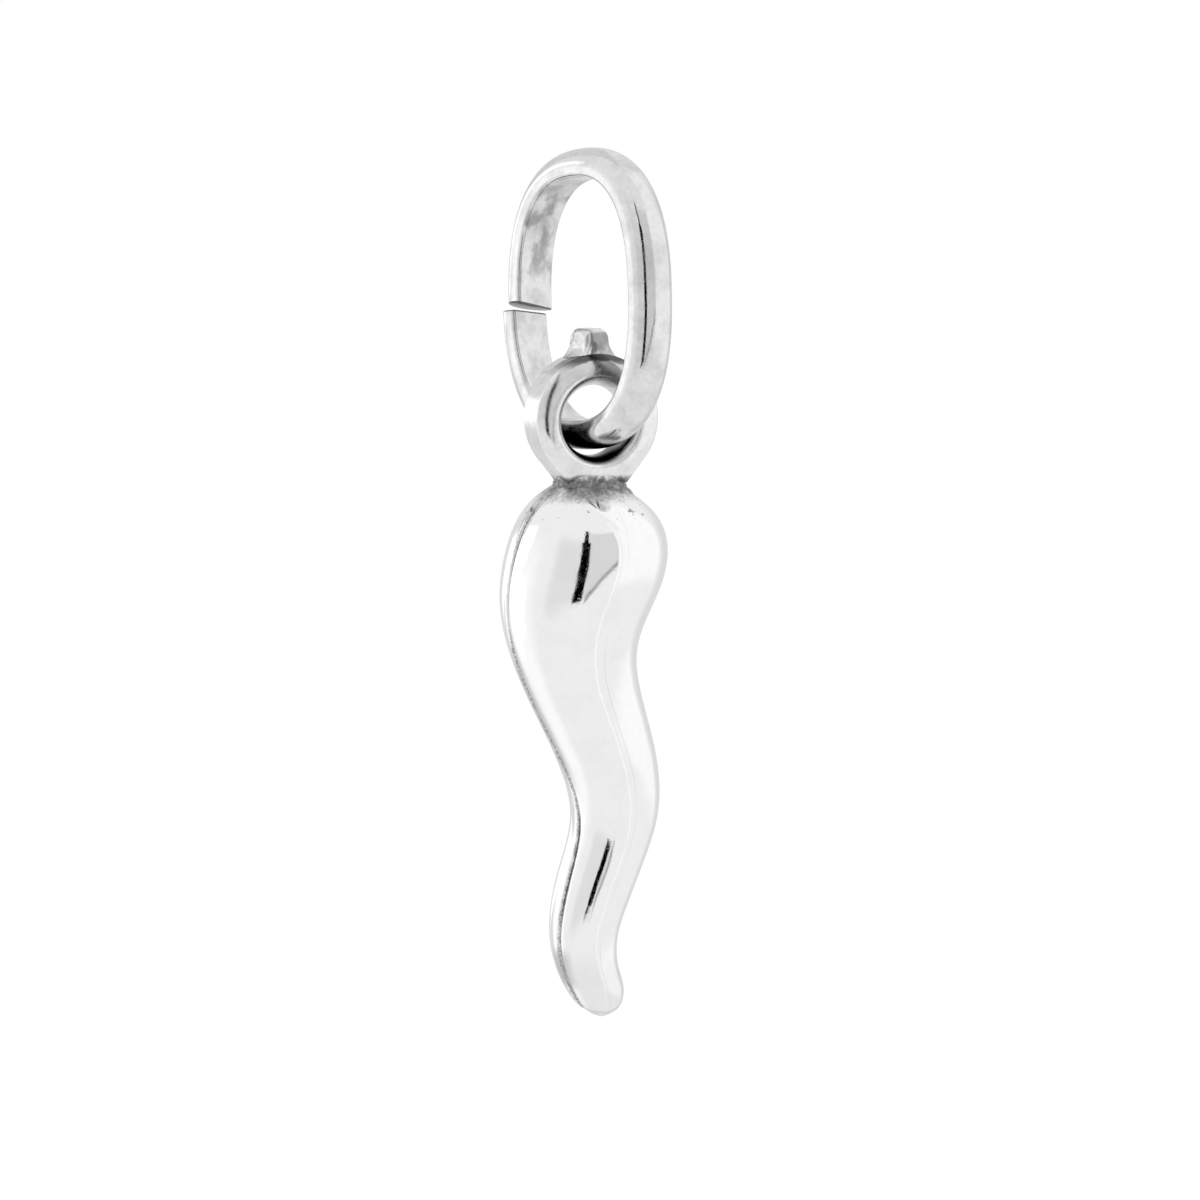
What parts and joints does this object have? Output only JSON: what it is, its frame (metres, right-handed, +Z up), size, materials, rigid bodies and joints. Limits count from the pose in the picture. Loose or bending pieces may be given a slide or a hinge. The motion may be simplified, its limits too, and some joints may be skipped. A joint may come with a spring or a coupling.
{
  "type": "cornicello horn pendant",
  "caption": "Small S-curved horn pendant with a soldered eye, swinging on an oval split jump ring of D-shaped wire.",
  "frame": {"origin": "top of the jump ring's opening, where a chain lies", "axes": "+Z up through the ring, -Y the horn's front, +X the pendant's left as it is worn"},
  "size_m": [0.0039, 0.0049, 0.0201],
  "materials": {
    "polished_silver": "polished, with fine wear marks and a rough dark solder joint at the neck"
  },
  "bodies": {
    "jump_ring": {"jump_ring": "polished_silver"},
    "horn": {"horn": "polished_silver"}
  },
  "joints": [
    {"name": "horn_swing", "type": "hinge", "parent": "jump_ring", "child": "horn", "pos_m": [-0.00018, -0.00052, -0.00548], "axis": [0.1392, 0.9903, 0], "range_deg": [-120, 120]}
  ]
}
